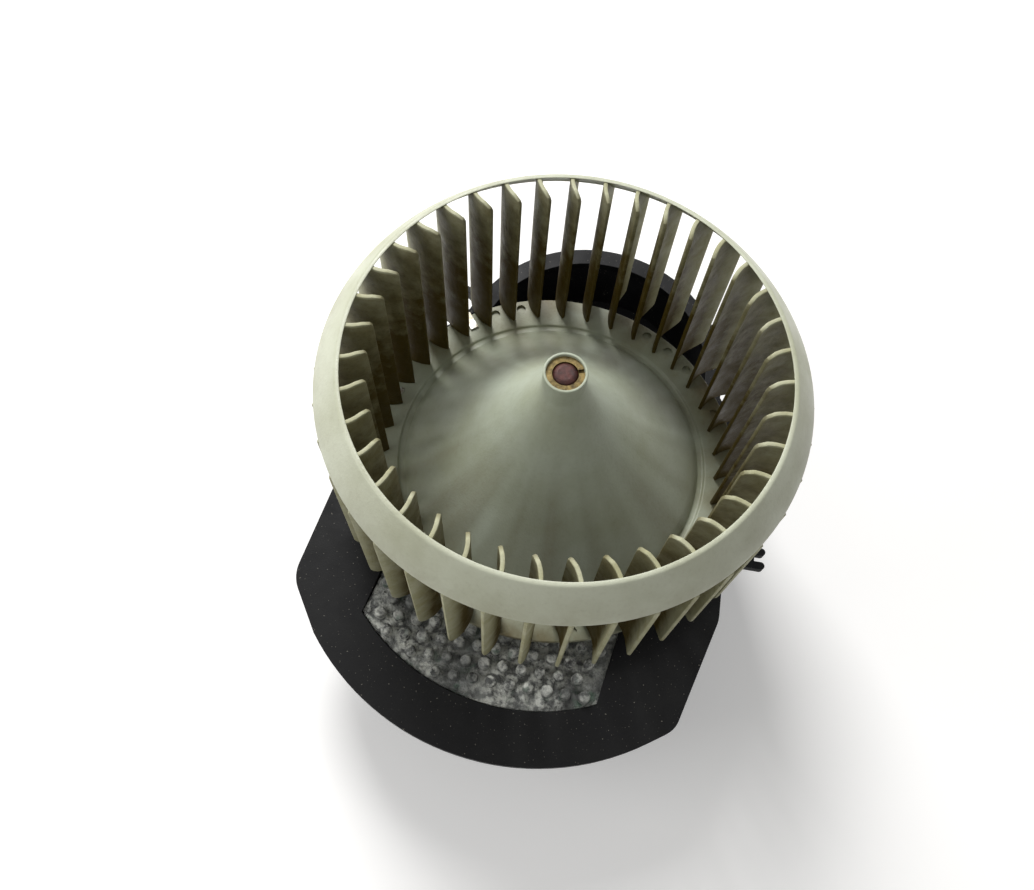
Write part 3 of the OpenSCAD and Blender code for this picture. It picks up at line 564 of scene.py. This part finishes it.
    def cut_pockets(self, hub: bpy.types.Object) -> None:
        """Sink the round balance pockets into the annulus."""
        cutter = bmesh.new()
        for gap in self.pocket_gaps:
            angle = math.radians(self.blade_phase + self.pitch * (gap + self.pocket_share))
            spot = self.pocket_ring * Vector((math.cos(angle), math.sin(angle), 0))
            spot.z = self.foot - self.pocket_depth + 1.5
            place = Matrix.Translation(spot)
            bmesh.ops.create_cone(cutter, cap_ends=True, segments=24, radius1=self.pocket_radius,
                                  radius2=self.pocket_radius, depth=3, matrix=place)
        bmesh.ops.scale(cutter, vec=Vector((MM,) * 3), verts=cutter.verts)
        mesh = bpy.data.meshes.new("pocket_cutter")
        cutter.to_mesh(mesh)
        cutter.free()
        tool = bpy.data.objects.new("pocket_cutter", mesh)
        bpy.context.scene.collection.objects.link(tool)
        step = hub.modifiers.new("pockets", "BOOLEAN")
        step.object = tool
        step.solver = "EXACT"
        bpy.context.view_layer.update()
        cut = bpy.data.meshes.new_from_object(hub.evaluated_get(bpy.context.evaluated_depsgraph_get()))
        hub.modifiers.remove(step)
        hub.data = cut
        smooth(cut)
        bpy.data.objects.remove(tool)

    def build(self) -> None:
        """Make and dress the three mouldings of the wheel."""
        LOG.info("wheel from %.1f to %.1f mm", self.foot, self.top)
        make_piece("wheel_inlet_ring", self.ring(), RING_IVORY.build(), ["inlet_ring"])
        hub = make_piece("wheel_hub", self.hub(), HUB_IVORY.build(), ["wheel_hub"])
        self.cut_pockets(hub)
        make_piece("wheel_blades", self.blades(), BLADE_IVORY.build(), ["wheel_blades"])


@dataclass
class HeatSink:
    """The cast heat sink: its base, a crusted face and a field of corroded pins. Sizes are in millimetres."""

    centre_x: float = -1.6
    centre_y: float = -13.0
    radius: float = 74.4
    inner_radius: float = 50.0
    gap: float = 0.5
    pin_radius: float = 1.8
    pin_pitch: float = 6.4
    pin_height: float = 5.0
    lump_count: int = 420
    sunk: float = 0.6
    search_step: float = 0.05
    crust_rise: float = 0.34
    blister_rise: float = 0.22
    inner_corners: tuple = ((-47.8, -22.2), (36.8, -33.7))
    ends: tuple = (((-50.2, -34.0), (-56.6, -65.0)), ((28.4, -81.0), (34.6, -46.0)))

    def __post_init__(self) -> None:
        """Take the face's height from the frame: the pins' tops less their height."""
        self.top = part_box("heat_sink")[1].z / MM
        self.face = self.top - self.pin_height
        self.middle = Vector((self.centre_x, self.centre_y, 0))
        self.chance = random.Random(7)

    def inside(self, point: Vector, edge: float) -> bool:
        """Say whether a point lies in the window, clear of its edges."""
        flat = Vector((point.x, point.y, 0))
        if (flat - self.middle).length > self.radius - edge or flat.length < self.inner_radius + edge:
            return False
        if flat.y > self.centre_y:
            return False
        for start, stop in self.ends:
            way = (Vector(stop) - Vector(start)).normalized()
            away = (flat.x - start[0]) * -way.y + (flat.y - start[1]) * way.x
            if away < edge:
                return False
        return True

    def base(self) -> bmesh.types.BMesh:
        """The casting below its face: a copy of the CAD solid, cut off level and closed."""
        shape = bmesh.new()
        shape.from_mesh(frame["nodes"]["heat_sink"].data)
        bmesh.ops.scale(shape, vec=Vector((1 / MM,) * 3), verts=shape.verts)
        bmesh.ops.remove_doubles(shape, verts=shape.verts, dist=0.002)
        cut = bmesh.ops.bisect_plane(shape, geom=shape.verts[:] + shape.edges[:] + shape.faces[:],
                                     plane_co=(0, 0, self.face - 0.35), plane_no=(0, 0, 1), clear_outer=True)
        rim = [item for item in cut["geom_cut"] if isinstance(item, bmesh.types.BMEdge)]
        bmesh.ops.triangle_fill(shape, edges=rim, use_beauty=True, normal=(0, 0, 1))
        bmesh.ops.recalc_face_normals(shape, faces=shape.faces)
        return shape

    def crust(self) -> bmesh.types.BMesh:
        """The rough face: a fine sheet trimmed to the window and raised by noise."""
        shape = bmesh.new()
        bmesh.ops.create_grid(shape, x_segments=150, y_segments=112, size=1)
        first, last = (math.atan2(y, x) + math.tau for x, y in self.inner_corners)
        corners = self.corner_angles()
        for vert in shape.verts:
            along, out = (vert.co.x + 1) / 2, (vert.co.y + 1) / 2
            inner_turn = first + (last - first) * along
            outer_turn = corners[0] + (corners[1] - corners[0]) * along
            near = (self.inner_radius + self.gap) * Vector((math.cos(inner_turn), math.sin(inner_turn), 0))
            outwards = Vector((math.cos(outer_turn), math.sin(outer_turn), 0))
            far = self.middle + (self.radius - self.gap) * outwards
            spot = near.lerp(far, out)
            edge = min(along, 1 - along, out, 1 - out)
            rise = self.crust_rise * noise.fractal(spot * 0.45, 1.0, 2.0, 5)
            rise += self.blister_rise * max(0.0, noise.noise(spot * 1.6))
            soft = min(1.0, edge * 26)
            vert.co = (spot.x, spot.y, self.face - 0.30 + 0.30 * soft + rise * soft)
        sheet = shape.faces[:]
        walls = bmesh.ops.extrude_face_region(shape, geom=sheet)
        for item in walls["geom"]:
            if isinstance(item, bmesh.types.BMVert):
                item.co.z = self.face - self.sunk
        bmesh.ops.recalc_face_normals(shape, faces=shape.faces)
        return shape

    def corner_angles(self) -> tuple[float, float]:
        """Angles about the outer arc's centre where the straight ends meet it."""
        found = []
        for near, far in (self.ends[0], self.ends[1][::-1]):
            way = (Vector(far) - Vector(near)).normalized()
            meet = Vector(near) - self.middle.xy
            while meet.length < self.radius - self.gap:
                meet += way * self.search_step
            found.append(math.atan2(meet.y, meet.x) % math.tau)
        return found[0], found[1]

    def roughen(self, shape: bmesh.types.BMesh, verts: list, amount: float, fine: float) -> None:
        """Push points in or out along their normals by noise, never above the pins' own height."""
        shape.normal_update()
        for vert in verts:
            push = amount * noise.fractal(vert.co * fine, 1.0, 2.0, 4)
            vert.co += vert.normal * push
            vert.co.z = min(vert.co.z, self.top - 0.02)

    def pins(self) -> bmesh.types.BMesh:
        """The round pins in staggered rows, each worn and crusted in its own way."""
        shape = bmesh.new()
        rows = int(self.radius / self.pin_pitch / 0.866)
        for row in range(-rows, rows + 1):
            for place in range(-rows, rows + 1):
                spot = self.middle + self.pin_pitch * Vector((place + (0 if row % 2 == 0 else 0.5),
                                                              row * 0.866, 0))
                if not self.inside(spot, self.pin_radius + 0.8):
                    continue
                tall = self.pin_height * self.chance.uniform(0.8, 0.97) + self.sunk
                thick = self.pin_radius * self.chance.uniform(0.98, 1.16)
                matrix = Matrix.Translation((spot.x, spot.y, self.face - self.sunk + tall / 2))
                pin = bmesh.ops.create_cone(shape, cap_ends=True, segments=14, radius1=thick * 1.12,
                                            radius2=thick * 0.9, depth=tall, matrix=matrix)["verts"]
                top = [e for v in pin for e in v.link_edges if all(w.co.z > self.face + 1 for w in e.verts)]
                done = bmesh.ops.bevel(shape, geom=list(set(top)), offset=0.75, affect="EDGES", segments=3,
                                       profile=0.5, material=-1)
                stand = {e for v in done["verts"] for e in v.link_edges
                         if abs(e.verts[0].co.z - e.verts[1].co.z) > 2}
                bmesh.ops.subdivide_edges(shape, edges=list(stand), cuts=4, use_grid_fill=True)
        self.roughen(shape, shape.verts[:], 0.34, 1.3)
        return shape

    def lumps(self) -> bmesh.types.BMesh:
        """Loose grains of oxide that cling to the face and to the pins' feet."""
        shape = bmesh.new()
        made = 0
        while made < self.lump_count:
            spot = Vector((self.chance.uniform(-60, 40), self.chance.uniform(-90, -20), 0))
            if not self.inside(spot, 1.2):
                continue
            size = self.chance.uniform(0.25, 0.75) * self.chance.uniform(0.6, 1.3)
            matrix = Matrix.Translation((spot.x, spot.y, self.face + 0.1)) @ Matrix.Diagonal(
                (1.0, self.chance.uniform(0.7, 1.3), self.chance.uniform(0.5, 0.9), 1.0))
            bmesh.ops.create_icosphere(shape, subdivisions=1, radius=size, matrix=matrix)
            made += 1
        self.roughen(shape, shape.verts[:], 0.3, 2.2)
        return shape

    def build(self) -> None:
        """Make and dress the heat sink's four pieces."""
        oxide = SINK_CRUST.build()
        make_piece("heat_sink_base", self.base(), oxide, ["heat_sink"])
        make_piece("heat_sink_face", self.crust(), oxide, ["heat_sink"])
        make_piece("heat_sink_pins", self.pins(), oxide, ["heat_sink"])
        make_piece("heat_sink_oxide", self.lumps(), oxide, ["heat_sink"])


@dataclass
class Moulding:
    """A casing or plate that keeps its CAD shape and gets softly rounded edges."""

    node: str
    finish: Finish
    edge_mm: float = 0.5
    segments: int = 3

    def build(self) -> None:
        """Copy the CAD solid, merge it, clear its flat faces and round its edges."""
        shape = bmesh.new()
        shape.from_mesh(frame["nodes"][self.node].data)
        bmesh.ops.remove_doubles(shape, verts=shape.verts, dist=2e-6)
        bmesh.ops.dissolve_limit(shape, angle_limit=math.radians(0.6), verts=shape.verts, edges=shape.edges,
                                 use_dissolve_boundaries=False)
        piece = make_piece(self.node + "_body", shape, self.finish.build(), [self.node], 1.0)
        soft = piece.modifiers.new("soft_edges", "BEVEL")
        soft.width = self.edge_mm * MM
        soft.segments = self.segments
        soft.limit_method = "ANGLE"
        soft.angle_limit = math.radians(40)
        soft.harden_normals = False


@dataclass
class CarriedNodes:
    """CAD nodes whose own shape is right: they only get their finish."""

    skipped: set[str]

    def build(self) -> None:
        """Give each node that still shows its material."""
        for node, obj in frame["nodes"].items():
            if node in self.skipped or node not in FINISHES:
                continue
            obj.data.materials.clear()
            obj.data.materials.append(FINISHES[node].build())
            LOG.info("%s: dressed as %s", node, FINISHES[node].name)


@dataclass
class Studio:
    """A pale floor, soft lamps and the camera."""

    camera_place: tuple[float, float, float] = (0.0, -0.13275, 0.37272)
    camera_turn: tuple[float, float, float] = (23.6452, -1.7453, 9.4884)
    lens: float = 32.62
    floor_size: float = 4.0

    def camera(self) -> None:
        """Place the camera."""
        data = bpy.data.cameras.new("camera")
        data.lens = self.lens
        data.sensor_width = 36.0
        data.clip_start = 0.01
        eye = bpy.data.objects.new("camera", data)
        eye.location = self.camera_place
        eye.rotation_euler = [math.radians(a) for a in self.camera_turn]
        bpy.context.scene.collection.objects.link(eye)
        bpy.context.scene.camera = eye

    def seen(self, tree: bpy.types.NodeTree) -> bpy.types.NodeSocket:
        """One where the eye, a mirror or clear plastic looks at the backdrop, and zero elsewhere."""
        path = add(tree, "LightPath").outputs
        either = add(tree, "Math", {0: path["Is Camera Ray"], 1: path["Is Glossy Ray"]}, operation="MAXIMUM")
        return add(tree, "Math", {0: either.outputs[0], 1: path["Is Transmission Ray"]}, operation="MAXIMUM"
                   ).outputs[0]

    def floor(self) -> None:
        """Lay the floor: white paper that keeps the object's shadow."""
        shape = bmesh.new()
        bmesh.ops.create_grid(shape, x_segments=1, y_segments=1, size=self.floor_size)
        bmesh.ops.translate(shape, vec=(0, 0, -0.0004), verts=shape.verts)
        mesh = bpy.data.meshes.new("floor")
        shape.to_mesh(mesh)
        shape.free()
        material = blank("white_paper")
        tree = material.node_tree
        paper = add(tree, "BsdfDiffuse", {"Color": linear("#f4f3f1")})
        lift = add(tree, "Math", {0: self.seen(tree), 1: 0.24}, operation="MULTIPLY")
        glow = add(tree, "Emission", {"Color": (1, 1, 1, 1), "Strength": lift.outputs[0]})
        both = add(tree, "AddShader", {0: paper.outputs[0], 1: glow.outputs[0]})
        add(tree, "OutputMaterial", {"Surface": both.outputs[0]})
        mesh.materials.append(material)
        floor = bpy.data.objects.new("floor", mesh)
        bpy.context.scene.collection.objects.link(floor)

    def lamp(self, name: str, place: tuple[float, float, float], power: float, size: float) -> None:
        """Hang a square soft lamp that looks at the object."""
        data = bpy.data.lights.new(name, "AREA")
        data.energy = power
        data.size = size
        lamp = bpy.data.objects.new(name, data)
        lamp.location = place
        lamp.rotation_euler = (Vector((0, 0, 0.07)) - Vector(place)).to_track_quat("-Z", "Y").to_euler()
        bpy.context.scene.collection.objects.link(lamp)

    def world(self) -> None:
        """Light from all round, and white where the eye looks past the floor."""
        world = bpy.data.worlds.new("studio")
        bpy.context.scene.world = world
        world.use_nodes = True
        tree = world.node_tree
        tree.nodes.clear()
        power = add(tree, "MapRange", {"Value": self.seen(tree), "To Min": 0.29, "To Max": 1.0})
        sky = add(tree, "Background", {"Color": (1, 1, 1, 1), "Strength": power.outputs["Result"]})
        add(tree, "OutputWorld", {"Surface": sky.outputs[0]})

    def build(self) -> None:
        """Set up the whole studio."""
        self.camera()
        self.floor()
        self.lamp("key", (-0.40, 0.80, 1.05), 16.0, 0.45)
        self.lamp("side", (-0.9, -0.3, 0.7), 3.5, 0.6)
        self.world()
        bpy.context.scene.view_settings.view_transform = "Standard"


def main() -> None:
    logging.basicConfig(level=logging.INFO, format="%(message)s")
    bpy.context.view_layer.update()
    Studio().build()
    FanWheel().build()
    HeatSink().build()
    mouldings = [
        Moulding("flange", FLANGE_BLACK, 0.8, 4),
        Moulding("cooling_duct", COVER_BLACK, 0.5),
        Moulding("regulator_cover", COVER_BLACK, 0.5),
        Moulding("motor_can", FINISHES["motor_can"], 0.5),
        Moulding("end_cap", FINISHES["end_cap"], 0.5),
        Moulding("mounting_ring", FINISHES["mounting_ring"], 0.25, 2),
        Moulding("balance_clips", FINISHES["balance_clips"], 0.12, 2),
    ]
    for moulding in mouldings:
        moulding.build()
    CarriedNodes({moulding.node for moulding in mouldings}).build()


if __name__ == "__main__":
    main()
